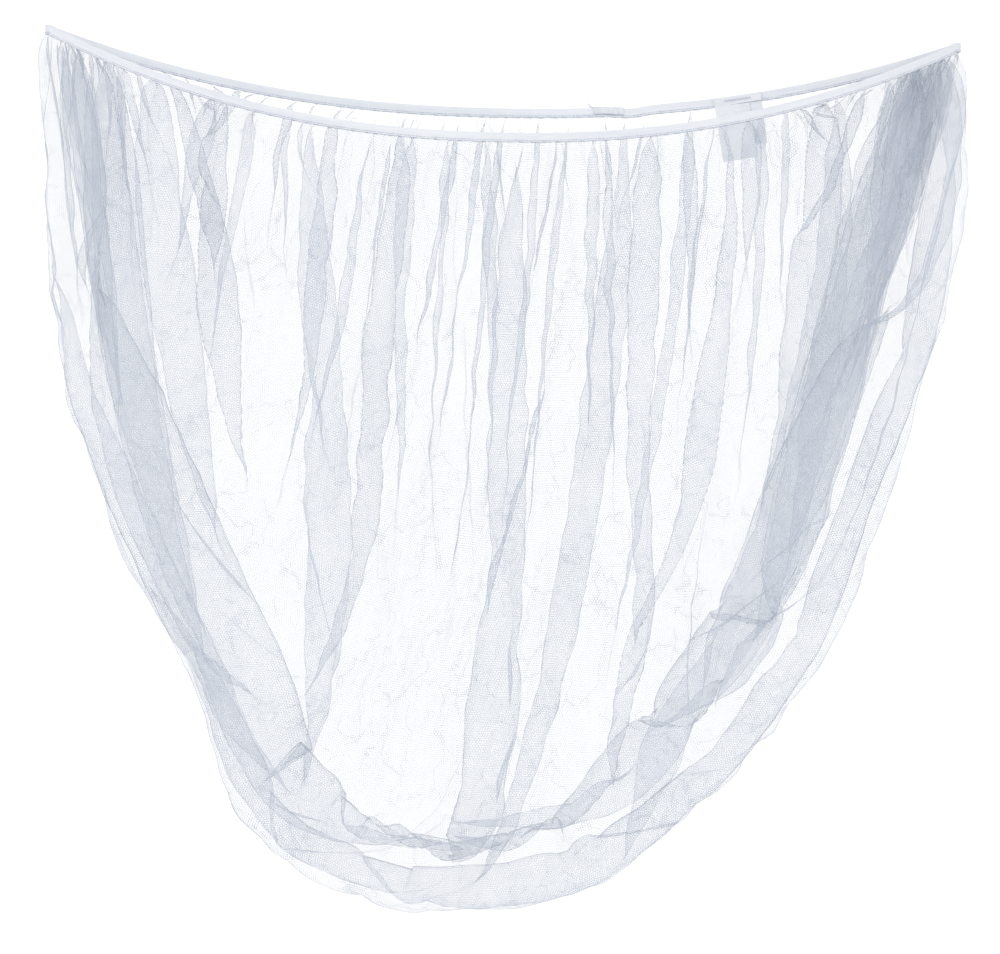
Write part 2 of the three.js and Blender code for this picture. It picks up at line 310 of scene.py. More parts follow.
class Drape:
    """A net of inextensible threads on a grid, pinned along its edge, that settles under its weight."""

    FAMILIES = (((1, 0), 1.0), ((0, 1), 1.0), ((1, 1), 0.35), ((1, -1), 0.35), ((2, 0), 0.10), ((0, 2), 0.10))
    WALL_GAP = 0.002
    WALL_SWAY = 0.009  # how far the surface that parts the walls sways to either side
    UNDER_TAPE = 0.0004
    STEP = 1 / 60
    TOP_SPEED = 3
    FOLD_PULL = 0.2  # share of the way to its line that the lowest fold is drawn in one step
    SLIDE = 0.35  # how much less firmly a pleat is held along its line than across it
    # How far the net stands out from the rim, so that it stays below the rim when that is swung open.
    OUT_AT_RIM, OUT_PER_DROP = 0.003, 0.6
    FOLD_ZONE = 0.06  # half the width of the strip across the cut's middle that may lie on either side

    def __init__(self, bag, spring=1.0):
        columns, rows = bag.shape[:2]
        self.spring = spring
        self.flat = flat_cut(columns, rows)
        edge = edge_of_grid(columns, rows)
        self.place = bag.astype(np.float32)
        self.place[edge[:, 0], edge[:, 1]] = pin_places(self.flat, edge)
        self.speed = np.zeros_like(self.place)
        self.free = np.ones((columns, rows), np.float32)
        self.free[edge[:, 0], edge[:, 1]] = 0
        self.threads = [t for step, stiff in self.FAMILIES for t in self.family(step, stiff)]
        self.reach = outline_reach()
        shares = np.linspace(0, 1, columns)
        self.fold = lowest_fold(shares).astype(np.float32)
        across_cut = self.flat[columns // 2, :, 1]
        self.swags = [(int(np.abs(across_cut - on_cut).argmin()), line, inward, firm)
                      for on_cut, line, inward, firm in swag_lines(shares)]
        from_fold = np.clip((np.abs(self.flat[..., 1]) - 0.05) / 0.14, 0, 1)
        on_side = np.where(self.flat[..., 0] > 0, BUNCH_RIGHT, BUNCH_LEFT)
        self.bunch = from_fold**2 * (3 - 2 * from_fold) * on_side
        x = np.linspace(-RIM_HALF, RIM_HALF, 261)
        self.ceiling_x = x
        self.ceiling = [run_points(x, side)[:, 2] - TAPE_TOP - self.UNDER_TAPE for side in (-1, 1)]
        self.run_depth = [run_points(x, side)[:, 1] for side in (-1, 1)]

    def family(self, step, stiff):
        """The threads between points that lie step apart, in sets that share no point."""
        across, down = step

        def ends(size, shift):
            return slice(max(0, -shift), size - max(0, shift)), slice(max(0, shift), size - max(0, -shift))

        columns, rows = self.flat.shape[:2]
        a_columns, b_columns = ends(columns, across)
        a_rows, b_rows = ends(rows, down)
        length = np.linalg.norm(self.flat[b_columns, b_rows] - self.flat[a_columns, a_rows], axis=-1)
        by_column = across != 0
        size = length.shape[0 if by_column else 1]
        stride = max(abs(across), abs(down))
        for start in range(2 * stride):
            part = slice(start, size, 2 * stride)
            one = (part, slice(None)) if by_column else (slice(None), part)
            if length[one].size:
                yield (a_columns, a_rows), (b_columns, b_rows), one, length[one].astype(np.float32), stiff

    def pull(self):
        """Brings every thread to its length once. The longest ones only keep the net from closing up."""
        for a, b, one, length, stiff in self.threads:
            start, end = self.place[a][one], self.place[b][one]
            start_free, end_free = self.free[a][one], self.free[b][one]
            way = end - start
            now = np.sqrt(np.einsum("ijk,ijk->ij", way, way)) + 1e-9
            share = np.maximum(start_free + end_free, 1)
            change = stiff * (now - length) / (now * share)
            if stiff < 0.2:
                change = np.minimum(change, 0) * self.spring
            start += way * (change * start_free)[..., None]
            end -= way * (change * end_free)[..., None]

    def keep_in_place(self):
        """Keeps the walls apart, the net under the tape and inside the hanging outline."""
        x, y, z = (self.place[..., axis] for axis in range(3))
        np.clip(y, NET_FRONT, NET_BACK, out=y)
        side = self.flat[..., 1]
        front, back = side < -self.FOLD_ZONE, side > self.FOLD_ZONE
        below_rim = np.clip((-0.08 - z) / 0.12, 0, 1)
        middle = self.WALL_SWAY * below_rim * np.sin(13 * x + 5 * z) * np.sin(4 - 9 * z + 3 * x)
        y[front] = np.minimum(y[front], (middle - self.WALL_GAP)[front])
        y[back] = np.maximum(y[back], (middle + self.WALL_GAP)[back])
        over_front = np.interp(x, self.ceiling_x, self.ceiling[0])
        over_back = np.interp(x, self.ceiling_x, self.ceiling[1])
        ceiling = np.where(side < 0, over_front, over_back)
        ceiling = np.where(self.free > 0, ceiling, 1.0)
        np.minimum(z, ceiling, out=z)
        standing_out = self.OUT_AT_RIM + self.OUT_PER_DROP * (ceiling - z)
        front_limit = np.interp(x, self.ceiling_x, self.run_depth[0]) - standing_out
        back_limit = np.interp(x, self.ceiling_x, self.run_depth[1]) + standing_out
        y[side < 0] = np.maximum(y, front_limit)[side < 0]
        y[side > 0] = np.minimum(y, back_limit)[side > 0]
        from_x, from_z = x - OUTLINE_CENTRE[0], z - OUTLINE_CENTRE[1]
        reach = np.interp(np.arctan2(from_x, -from_z), *self.reach)
        under_rim = np.clip((-0.03 - z) / 0.14, 0, 1)
        over_foot = np.clip((z + 0.60) / 0.12, 0, 1)
        reach = reach * (1 - self.bunch * under_rim * over_foot)
        shrink = np.minimum(1, reach / np.maximum(np.hypot(from_x, from_z), 1e-6))
        shrink = np.where(self.free > 0, shrink, 1)
        x[...] = OUTLINE_CENTRE[0] + from_x * shrink
        z[...] = OUTLINE_CENTRE[1] + from_z * shrink

    def settle(self, steps, pulls, keep, weight):
        """Moves the net for a number of steps. keep is the share of its speed that it keeps in each."""
        step = self.STEP
        for _ in range(steps):
            before = self.place.copy()
            self.speed[..., 2] -= weight * step
            self.speed *= keep
            self.place += self.speed * step * self.free[..., None]
            for _ in range(pulls):
                self.pull()
            self.keep_in_place()
            middle = self.place[1:-1, self.place.shape[1] // 2]
            middle += self.FOLD_PULL * (self.fold[1:-1] - middle)
            for row, line, inward, firm in self.swags:
                off = line - self.place[:, row]
                across = inward * np.sum(off * inward, axis=-1, keepdims=True)
                across[:, 1] = off[:, 1]
                self.place[1:-1, row] += (firm * (across + self.SLIDE * (off - across)))[1:-1]
            self.speed = (self.place - before) / step
            pace = np.linalg.norm(self.speed, axis=-1, keepdims=True)
            self.speed *= np.minimum(1, self.TOP_SPEED / np.maximum(pace, 1e-6))
        return self.place

    def crumple(self, seed, low, high, size, wander):
        """Presses uneven upright wrinkles into the net, as one that has been packed away keeps."""
        rng = np.random.default_rng(seed)
        x, y = self.flat[..., 0], self.flat[..., 1]
        bump = np.zeros_like(x)
        for count, phase, height in waves(rng, 24, low, high):
            lean = rng.normal() * 0.22
            fade = np.sin(rng.uniform(4, 9) * x + rng.uniform(3, 8) * y + rng.uniform(0, math.tau))
            bend = wander * rng.uniform(0.3, 1) * kinked(rng.uniform(10, 34) * y + rng.uniform(0, math.tau))
            small = 0.3 * wander * rng.uniform(0.1, 1)
            bend += small * kinked(rng.uniform(40, 90) * y + rng.uniform(0, math.tau))
            bump += height * np.sin(count * (x + lean * y) + phase + bend) * np.clip(fade + 0.35, 0, 1)
        self.place[..., 1] += size * bump * self.edge_room(0.05)

    def edge_room(self, reach):
        """0 at the sewn edge, and 1 from this far inside it."""
        u = np.abs(np.linspace(-1, 1, self.flat.shape[0]))[:, None] * np.ones((1, self.flat.shape[1]))
        v = np.abs(np.linspace(-1, 1, self.flat.shape[1]))[None, :]
        inside = (1 - np.maximum(u, v)) * CUT_LENGTH / 2
        return np.clip(inside / reach, 0, 1) * self.free

    def rumple(self, seed, sizes):
        """Shakes small kinks into the wrinkles, sideways, in depth and in height."""
        rng = np.random.default_rng(seed)
        x, y = self.flat[..., 0], self.flat[..., 1]
        room = self.edge_room(0.03)
        for axis, size in enumerate(sizes):
            shift = np.zeros_like(x)
            for _ in range(22):
                across, down = rng.normal() * 110, rng.choice((-1, 1)) * rng.uniform(60, 210)
                patch = np.sin(rng.uniform(4, 16) * x + rng.uniform(4, 16) * y + rng.uniform(0, math.tau))
                strong = np.clip(patch + 0.3, 0, 1)
                shift += rng.normal() * strong * kinked(across * x + down * y + rng.uniform(0, math.tau))
            self.place[..., axis] += size / math.sqrt(11) * shift * room
        self.keep_in_place()

    def smooth(self):
        """Rounds the folds off over one cell of the grid, so that their edges run clean."""
        for axis in (0, 1):
            near = (np.roll(self.place, 1, axis) + np.roll(self.place, -1, axis)) / 2
            self.place += 0.5 * (near - self.place) * self.free[..., None]


def finer(grid):
    """The same surface with each cell cut into four."""

    def double(a):
        out = np.empty((2 * len(a) - 1,) + a.shape[1:], a.dtype)
        out[::2] = a
        between = (a[:-1] + a[1:]) * 0.5625
        between[1:-1] -= (a[:-3] + a[3:]) * 0.0625
        between[0], between[-1] = (a[0] + a[1]) / 2, (a[-1] + a[-2]) / 2
        out[1::2] = between
        return out

    return np.swapaxes(double(np.swapaxes(double(grid), 0, 1)), 0, 1)


def drape_net():
    """The hanging net as a grid of points, and the same grid as it was cut."""
    net = Drape(first_bag(91, 67))
    net.settle(110, 8, 0.97, 0.8)
    net = Drape(finer(net.place), 0.5)
    net.crumple(21, 60, 380, 0.0075, 1.0)
    net.settle(90, 9, 0.96, 0.4)
    net = Drape(finer(net.place), 0.25)
    net.crumple(22, 160, 800, 0.0044, 1.3)
    net.settle(20, 9, 0.93, 0.1)
    net.smooth()
    net.rumple(23, (0.0013, 0.0016, 0.0007))
    return net.place, net.flat


# --- materials -----------------------------------------------------------------------------------


def add_node(tree, kind, inputs=None, **settings):
    """Adds a node. inputs are values or the sockets that feed it, by name or number."""
    node = tree.nodes.new(kind)
    for name, value in settings.items():
        setattr(node, name, value)
    for key, value in (inputs or {}).items():
        if isinstance(value, bpy.types.NodeSocket):
            tree.links.new(value, node.inputs[key])
        else:
            node.inputs[key].default_value = value
    return node


def maths(tree, operation, first, second=0.0, third=0.0, clamp=False):
    values = {0: first, 1: second, 2: third}
    return add_node(tree, "ShaderNodeMath", values, operation=operation, use_clamp=clamp).outputs[0]


def vectors(tree, operation, first, second=None, third=None):
    values = {k: v for k, v in enumerate((first, second, third)) if v is not None}
    node = add_node(tree, "ShaderNodeVectorMath", values, operation=operation)
    return node.outputs["Value" if operation in ("DOT_PRODUCT", "LENGTH") else "Vector"]


def ramp(tree, value, low, high, to_low=0.0, to_high=1.0, smooth=True):
    kind = "SMOOTHSTEP" if smooth else "LINEAR"
    values = {"Value": value, "From Min": low, "From Max": high, "To Min": to_low, "To Max": to_high}
    return add_node(tree, "ShaderNodeMapRange", values, interpolation_type=kind).outputs["Result"]


def mixed_colour(tree, factor, first, second):
    values = {0: factor, 6: first, 7: second}
    return add_node(tree, "ShaderNodeMix", values, data_type="RGBA").outputs[2]


def new_group(name, inputs, outputs):
    """A shader node group. inputs are (name, kind, value) and outputs (name, kind)."""
    tree = bpy.data.node_groups.new(name, "ShaderNodeTree")
    for socket, kind, value in inputs:
        made = tree.interface.new_socket(socket, in_out="INPUT", socket_type=kind)
        if kind == "NodeSocketFloat":
            made.default_value = value
    for socket, kind in outputs:
        tree.interface.new_socket(socket, in_out="OUTPUT", socket_type=kind)
    return tree, tree.nodes.new("NodeGroupInput").outputs, tree.nodes.new("NodeGroupOutput").inputs


def hex_mesh_group():
    """Hexagonal net: 1 on its threads and 0 in its holes. Vector counts in cells."""
    tree, given, result = new_group(
        "hex_mesh",
        [
            ("Vector", "NodeSocketVector", None),
            ("Thread", "NodeSocketFloat", 0.05),
            ("Soft", "NodeSocketFloat", 0.3),
        ],
        [("Mask", "NodeSocketFloat"), ("Height", "NodeSocketFloat")],
    )
    half = (0.5, math.sqrt(3) / 2, 0.5)
    low = tuple(-h for h in half)
    first = vectors(tree, "WRAP", given["Vector"], half, low)
    moved = vectors(tree, "SUBTRACT", given["Vector"], half)
    second = vectors(tree, "WRAP", moved, half, low)
    flat = (1.0, 1.0, 0.0)
    first = vectors(tree, "MULTIPLY", first, flat)
    second = vectors(tree, "MULTIPLY", second, flat)
    to_first = vectors(tree, "DOT_PRODUCT", first, first)
    to_second = vectors(tree, "DOT_PRODUCT", second, second)
    nearer = maths(tree, "LESS_THAN", to_first, to_second)
    values = {0: nearer, 4: second, 5: first}
    cell = add_node(tree, "ShaderNodeMix", values, data_type="VECTOR").outputs[1]
    cell = vectors(tree, "ABSOLUTE", cell)
    across = add_node(tree, "ShaderNodeSeparateXYZ", {0: cell}).outputs["X"]
    slanted = vectors(tree, "DOT_PRODUCT", cell, (0.5, math.sqrt(3) / 2, 0.0))
    to_edge = maths(tree, "SUBTRACT", 0.5, maths(tree, "MAXIMUM", across, slanted))
    share = maths(tree, "DIVIDE", to_edge, given["Thread"])
    outer = maths(tree, "ADD", 1.0, given["Soft"])
    inner = maths(tree, "SUBTRACT", 1.0, given["Soft"])
    tree.links.new(ramp(tree, share, outer, inner), result["Mask"])
    tree.links.new(maths(tree, "SUBTRACT", 1.0, share, clamp=True), result["Height"])
    return tree


def weave_group():
    """Plain weave: Height bulges at each crossing, and Shade is dark between the threads. Vector counts in
    threads."""
    tree, given, result = new_group(
        "plain_weave",
        [("Vector", "NodeSocketVector", None)],
        [("Height", "NodeSocketFloat"), ("Shade", "NodeSocketFloat")],
    )
    turned = vectors(tree, "SCALE", given["Vector"])
    turned.node.inputs["Scale"].default_value = math.pi
    parts = add_node(tree, "ShaderNodeSeparateXYZ", {0: turned}).outputs
    warp = maths(tree, "SINE", parts["X"])
    weft = maths(tree, "SINE", parts["Y"])
    product = maths(tree, "MULTIPLY", warp, weft)
    tree.links.new(maths(tree, "MULTIPLY_ADD", product, 0.5, 0.5), result["Height"])
    edges = maths(tree, "MULTIPLY", maths(tree, "ABSOLUTE", warp), maths(tree, "ABSOLUTE", weft))
    tree.links.new(ramp(tree, edges, 0.0, 0.45, 0.0, 1.0), result["Shade"])
    return tree


def blotch_group():
    """Slow unevenness over a surface, from 0 to 1, at two sizes. Vector is in metres."""
    tree, given, result = new_group(
        "cloth_unevenness",
        [("Vector", "NodeSocketVector", None), ("Scale", "NodeSocketFloat", 20.0)],
        [("Value", "NodeSocketFloat")],
    )
    wide = add_node(
        tree, "ShaderNodeTexNoise", {"Vector": given["Vector"], "Scale": given["Scale"], "Detail": 3.0}
    )
    small = maths(tree, "MULTIPLY", given["Scale"], 9.0)
    fine = add_node(tree, "ShaderNodeTexNoise", {"Vector": given["Vector"], "Scale": small, "Detail": 2.0})
    both = maths(tree, "MULTIPLY_ADD", fine.outputs[0], 0.35, maths(tree, "MULTIPLY", wide.outputs[0], 0.65))
    tree.links.new(ramp(tree, both, 0.3, 0.7), result["Value"])
    return tree


def twist_group():
    """The twist of a thread, as slanting ridges. Vector is in metres."""
    tree, given, result = new_group(
        "thread_twist",
        [("Vector", "NodeSocketVector", None), ("Ridges", "NodeSocketFloat", 2500.0)],
        [("Height", "NodeSocketFloat")],
    )
    slanted = vectors(tree, "DOT_PRODUCT", given["Vector"], (1.0, 0.9, 1.4))
    ridge = maths(tree, "SINE", maths(tree, "MULTIPLY", slanted, given["Ridges"]))
    tree.links.new(maths(tree, "MULTIPLY_ADD", ridge, 0.5, 0.5), result["Height"])
    return tree


GROUPS = {}


def use_group(tree, name, inputs):
    if name not in GROUPS:
        makers = {
            "hex_mesh": hex_mesh_group,
            "plain_weave": weave_group,
            "cloth_unevenness": blotch_group,
            "thread_twist": twist_group,
        }
        GROUPS[name] = makers[name]()
    node = tree.nodes.new("ShaderNodeGroup")
    node.node_tree = GROUPS[name]
    for key, value in inputs.items():
        if isinstance(value, bpy.types.NodeSocket):
            tree.links.new(value, node.inputs[key])
        else:
            node.inputs[key].default_value = value
    return node.outputs


def new_material(name, colour):
    material = bpy.data.materials.new(name)
    material.diffuse_color = colour
    material.use_nodes = True
    return material, material.node_tree, material.node_tree.nodes["Principled BSDF"]


def surface_uv(tree, scale, shift=(0.0, 0.0, 0.0)):
    """The piece's own UV map, scaled."""
    uv = add_node(tree, "ShaderNodeUVMap", uv_map="UVMap").outputs["UV"]
    return vectors(tree, "MULTIPLY_ADD", uv, scale, shift)


def put_bump(tree, shader, height, strength, distance):
    bump = add_node(tree, "ShaderNodeBump", {"Height": height, "Strength": strength, "Distance": distance})
    tree.links.new(bump.outputs["Normal"], shader.inputs["Normal"])


def net_material(look):
    """Fine hexagonal net. Its holes are clear, and it closes up where it is creased or seen edge on. Its
    colour is darkened at the creases as painted shade, and at random as uneven tone.
    """
    colour = tuple(look.net_colour)
    material, tree, shader = new_material("white_insect_net", colour)
    place = surface_uv(tree, (UV_SPAN, UV_SPAN, 0.0))
    warp = add_node(tree, "ShaderNodeTexNoise", {"Vector": place, "Scale": 55.0, "Detail": 1.0})
    warp = warp.outputs["Color"]
    pulled = vectors(tree, "MULTIPLY_ADD", warp, (0.0016, 0.0016, 0.0), place)
    cells = vectors(tree, "SCALE", pulled)
    cells.node.inputs["Scale"].default_value = 1 / look.net_pitch
    crease = add_node(tree, "ShaderNodeAttribute", attribute_name="crease").outputs["Fac"]
    uneven = use_group(tree, "cloth_unevenness", {"Vector": place, "Scale": 14.0})["Value"]
    bent = vectors(tree, "MULTIPLY_ADD", warp, (0.03, 0.03, 0.0), place)
    kinks = vectors(tree, "MULTIPLY", bent, (34.0, 15.0, 0.0))
    to_kink = add_node(
        tree,
        "ShaderNodeTexVoronoi",
        {"Vector": kinks, "Scale": 1.0},
        feature="DISTANCE_TO_EDGE",
        voronoi_dimensions="2D",
    ).outputs["Distance"]
    near_kink = ramp(tree, to_kink, 0.0, 0.04, 1.0, 0.0)
    kinked_here = maths(tree, "MULTIPLY", near_kink, ramp(tree, uneven, 0.42, 0.62))
    width = maths(tree, "MULTIPLY_ADD", crease, 0.8, ramp(tree, uneven, 0.0, 1.0, 0.85, 1.2, False))
    width = maths(tree, "MULTIPLY_ADD", kinked_here, 1.5, width)
    thread = maths(tree, "MULTIPLY", width, look.net_thread / look.net_pitch / 2)
    mesh = use_group(tree, "hex_mesh", {"Vector": cells, "Thread": thread, "Soft": 0.2})
    facing = add_node(tree, "ShaderNodeLayerWeight", {"Blend": 0.5}).outputs["Facing"]
    edge_on = ramp(tree, facing, 0.5, 1.0, 0.0, 0.45)
    seen_through = maths(tree, "SUBTRACT", 1.0, edge_on)
    open_share = maths(tree, "MULTIPLY", maths(tree, "SUBTRACT", 1.0, mesh["Mask"]), seen_through)
    tree.links.new(maths(tree, "SUBTRACT", 1.0, open_share, clamp=True), shader.inputs["Alpha"])
    # Painted shade: the threads' colour darkens towards this at sharp creases, and also at random with the
    # cloth's unevenness.
    crease_shade_and_blotch_colour = (colour[0] * 0.80, colour[1] * 0.82, colour[2] * 0.86, 1.0)
    shade = maths(tree, "MULTIPLY_ADD", crease, 0.6, maths(tree, "MULTIPLY", uneven, 0.35), clamp=True)
    tree.links.new(mixed_colour(tree, shade, colour, crease_shade_and_blotch_colour), shader.inputs["Base Color"])
    tree.links.new(ramp(tree, uneven, 0.0, 1.0, 0.55, 0.75), shader.inputs["Roughness"])
    shader.inputs["Specular IOR Level"].default_value = 0.3
    put_bump(tree, shader, mesh["Height"], 0.5, 0.0001)
    return material


def tape_material(look):
    """Narrow woven tape, folded over the rim. UV runs round the rim and across the tape's flat width."""
    colour = tuple(look.tape_colour)
    material, tree, shader = new_material("white_woven_tape", colour)
    place = surface_uv(tree, (RIM_LENGTH, look.tape_flat, 0.0))
    threads = vectors(tree, "MULTIPLY", place, (1 / 0.00042, 1 / 0.00034, 0.0))
    weave = use_group(tree, "plain_weave", {"Vector": threads})
    along = vectors(tree, "MULTIPLY", place, (0.3, 5.0, 0.0))
    uneven = use_group(tree, "cloth_unevenness", {"Vector": along, "Scale": 26.0})["Value"]
    across = add_node(tree, "ShaderNodeSeparateXYZ", {0: surface_uv(tree, (1.0, 1.0, 0.0))}).outputs["Y"]
    from_fold = maths(tree, "ABSOLUTE", maths(tree, "SUBTRACT", across, 0.5))
    # Painted shadow: a thin dark line along the tape's lower edges, on both faces.
    lower_edge_shadow = ramp(tree, from_fold, 0.445, 0.49)
    from_seam = maths(tree, "ABSOLUTE", maths(tree, "SUBTRACT", from_fold, 0.405))
    stitched = maths(tree, "SUBTRACT", 1.0, ramp(tree, from_seam, 0.0, 0.03))
    dark = (colour[0] * 0.50, colour[1] * 0.54, colour[2] * 0.62, 1.0)
    between_threads = maths(tree, "SUBTRACT", 1.0, weave["Shade"])
    shade = maths(tree, "MULTIPLY_ADD", between_threads, 0.16, maths(tree, "MULTIPLY", uneven, 0.24))
    shade = maths(tree, "MULTIPLY_ADD", lower_edge_shadow, 0.8, shade)
    shade = maths(tree, "MULTIPLY_ADD", stitched, 0.14, shade, clamp=True)
    tree.links.new(mixed_colour(tree, shade, colour, dark), shader.inputs["Base Color"])
    tree.links.new(ramp(tree, uneven, 0.0, 1.0, 0.6, 0.78), shader.inputs["Roughness"])
    shader.inputs["Sheen Weight"].default_value = 0.25
    shader.inputs["Sheen Roughness"].default_value = 0.4
    height = maths(tree, "MULTIPLY_ADD", stitched, -0.8, weave["Height"])
    put_bump(tree, shader, height, 0.55, 0.00009)
    return material


def elastic_material(look):
    """Braided elastic, ribbed along its length."""
    colour = tuple(look.elastic_colour)
    material, tree, shader = new_material("braided_elastic", colour)
    place = surface_uv(tree, (RIM_LENGTH, ELASTIC_HEIGHT, 0.0))
    ribs = vectors(tree, "MULTIPLY", place, (1 / 0.0007, 1 / 0.0006, 0.0))
    braid = use_group(tree, "plain_weave", {"Vector": ribs})
    uneven = use_group(tree, "cloth_unevenness", {"Vector": place, "Scale": 40.0})["Value"]
    dark = (colour[0] * 0.7, colour[1] * 0.7, colour[2] * 0.7, 1.0)
    between = maths(tree, "SUBTRACT", 1.0, braid["Shade"])
    worn = maths(tree, "MULTIPLY", uneven, 0.3)
    shade = maths(tree, "MULTIPLY_ADD", between, 0.5, worn, clamp=True)
    tree.links.new(mixed_colour(tree, shade, colour, dark), shader.inputs["Base Color"])
    tree.links.new(ramp(tree, uneven, 0.0, 1.0, 0.75, 0.9), shader.inputs["Roughness"])
    put_bump(tree, shader, braid["Height"], 0.7, 0.00015)
    return material


def thread_material(look):
    """Twisted polyester sewing thread."""
    colour = tuple(look.thread_colour)
    material, tree, shader = new_material("sewing_thread", colour)
    place = add_node(tree, "ShaderNodeTexCoord").outputs["Object"]
    twist = use_group(tree, "thread_twist", {"Vector": place, "Ridges": 14000.0})["Height"]
    uneven = use_group(tree, "cloth_unevenness", {"Vector": place, "Scale": 120.0})["Value"]
    dark = (colour[0] * 0.62, colour[1] * 0.65, colour[2] * 0.72, 1.0)
    worn = maths(tree, "MULTIPLY_ADD", uneven, 0.3, 0.45)
    shade = maths(tree, "MULTIPLY_ADD", twist, -0.4, worn, clamp=True)
    tree.links.new(mixed_colour(tree, shade, colour, dark), shader.inputs["Base Color"])
    tree.links.new(ramp(tree, uneven, 0.0, 1.0, 0.45, 0.6), shader.inputs["Roughness"])
    put_bump(tree, shader, twist, 0.6, 0.00005)
    return material


def label_material(look):
    """Blank satin ribbon: long floats along its length, fine gaps between them and soft crush marks."""
    colour = tuple(look.label_colour)
    material, tree, shader = new_material("blank_satin_label", colour)
    place = surface_uv(tree, (LABEL_WIDTH, LABEL_LENGTH, 0.0))
    threads = vectors(tree, "MULTIPLY", place, (1 / 0.00018, 1 / 0.0009, 0.0))
    floats = use_group(tree, "plain_weave", {"Vector": threads})
    uneven = use_group(tree, "cloth_unevenness", {"Vector": place, "Scale": 70.0})["Value"]
    marks = vectors(tree, "MULTIPLY", place, (260.0, 90.0, 0.0))
    crush = add_node(
        tree, "ShaderNodeTexNoise", {"Vector": marks, "Scale": 1.0, "Detail": 4.0}
    ).outputs[0]
    dark = (colour[0] * 0.74, colour[1] * 0.76, colour[2] * 0.8, 1.0)
    between = maths(tree, "SUBTRACT", 1.0, floats["Shade"])
    worn = maths(tree, "MULTIPLY", uneven, 0.4)
    shade = maths(tree, "MULTIPLY_ADD", between, 0.25, worn, clamp=True)
    tree.links.new(mixed_colour(tree, shade, colour, dark), shader.inputs["Base Color"])
    tree.links.new(ramp(tree, crush, 0.3, 0.7, 0.32, 0.5), shader.inputs["Roughness"])
    shader.inputs["Sheen Weight"].default_value = 0.3
    shader.inputs["Anisotropic"].default_value = 0.4
    height = maths(tree, "MULTIPLY_ADD", crush, 3.0, floats["Height"])
    put_bump(tree, shader, height, 0.4, 0.00008)
    return material


def floor_material():
    material, tree, shader = new_material("pale_floor", (0.9, 0.9, 0.9, 1.0))
    place = add_node(tree, "ShaderNodeTexCoord").outputs["Object"]
    uneven = use_group(tree, "cloth_unevenness", {"Vector": place, "Scale": 3.0})["Value"]
    pale, paler = (0.88, 0.885, 0.89, 1.0), (0.92, 0.92, 0.92, 1.0)
    tree.links.new(mixed_colour(tree, uneven, pale, paler), shader.inputs["Base Color"])
    tree.links.new(ramp(tree, uneven, 0.0, 1.0, 0.7, 0.85), shader.inputs["Roughness"])
    return material


# --- modelling -----------------------------------------------------------------------------------


def deselect_all():
    if bpy.context.object and bpy.context.object.mode != "OBJECT":
        bpy.ops.object.mode_set(mode="OBJECT")
    bpy.ops.object.select_all(action="DESELECT")


def make_active(piece):
    deselect_all()
    piece.select_set(True)
    bpy.context.view_layer.objects.active = piece


def apply_place(piece):
    make_active(piece)
    bpy.ops.object.transform_apply(location=True, rotation=True, scale=True)


def edit_where(piece, test, action):
    """Selects the vertices whose place passes the test, and runs an edit-mode action on them."""
    make_active(piece)
    bpy.ops.object.mode_set(mode="EDIT")
    bpy.ops.mesh.select_mode(type="VERT")
    bpy.ops.mesh.select_all(action="DESELECT")
    bpy.ops.object.mode_set(mode="OBJECT")
    for vertex in piece.data.vertices:
        vertex.select = bool(test(vertex.co))
    bpy.ops.object.mode_set(mode="EDIT")
    action()
    bpy.ops.object.mode_set(mode="OBJECT")


def apply_modifiers(piece):
    make_active(piece)
    for modifier in list(piece.modifiers):
        bpy.ops.object.modifier_apply(modifier=modifier.name)


def places(piece):
    flat = np.zeros(len(piece.data.vertices) * 3, np.float32)
    piece.data.vertices.foreach_get("co", flat)
    return flat.reshape(-1, 3).astype(float)


def set_places(piece, moved):
    piece.data.vertices.foreach_set("co", moved.astype(np.float32).ravel())
    piece.data.update()


def face_out(piece, doubles=1e-6):
    """Merges what meets, points every face outwards and shades it smooth."""
    make_active(piece)
    bpy.ops.object.mode_set(mode="EDIT")
    bpy.ops.mesh.select_all(action="SELECT")
    bpy.ops.mesh.remove_doubles(threshold=doubles)
    bpy.ops.mesh.normals_make_consistent(inside=False)
    bpy.ops.object.mode_set(mode="OBJECT")
    bpy.ops.object.shade_smooth_by_angle(angle=math.radians(40))


def finish_piece(piece, name, material):
    piece.name = piece.data.name = name
    piece.data.materials.clear()
    piece.data.materials.append(material)
    return piece


def follow_rim(piece):
    """Bends a piece that was made straight along X onto the rim, with X as the distance along it."""
    make_active(piece)
    line = bpy.data.curves.new("rim_line", "CURVE")
    line.dimensions = "3D"
    line.twist_mode = "Z_UP"
    spline = line.splines.new("POLY")
    spline.points.add(RIM_STEPS - 1)
    flat = np.concatenate([RIM[:-1], np.ones((RIM_STEPS, 1))], axis=1)
    spline.points.foreach_set("co", flat.ravel())
    spline.use_cyclic_u = True
    guide = bpy.data.objects.new("rim_line", line)
    bpy.context.scene.collection.objects.link(guide)
    bend = piece.modifiers.new("follow rim", "CURVE")
    bend.object = guide
    bend.deform_axis = "POS_X"
    bpy.context.view_layer.update()
    apply_modifiers(piece)
    bpy.data.objects.remove(guide)
    bpy.data.curves.remove(line)


def bend_with_mouth(piece):
    """Bakes the piece's place into its mesh."""
    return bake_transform(piece)


def ripple(distance, seed, low, high, count=18):
    """Uneven waves round the rim that meet themselves, of about unit size."""
    rng = np.random.default_rng(seed)
    turn = math.tau * distance / RIM_LENGTH
    drawn = waves(rng, count, low, high)
    return sum(size * np.sin(round(number) * turn + phase) for number, phase, size in drawn)


def flat_strip(start, length, width, steps, lines):
    """A flat strip in X and Y with its own UV map, its middle on the X axis."""
    deselect_all()
    bpy.ops.mesh.primitive_grid_add(x_subdivisions=steps, y_subdivisions=lines, size=1)
    strip = bpy.context.object
    bpy.ops.transform.resize(value=(length, width, 1))
    bpy.ops.transform.translate(value=(start + length / 2, 0, 0))
    apply_place(strip)
    return strip


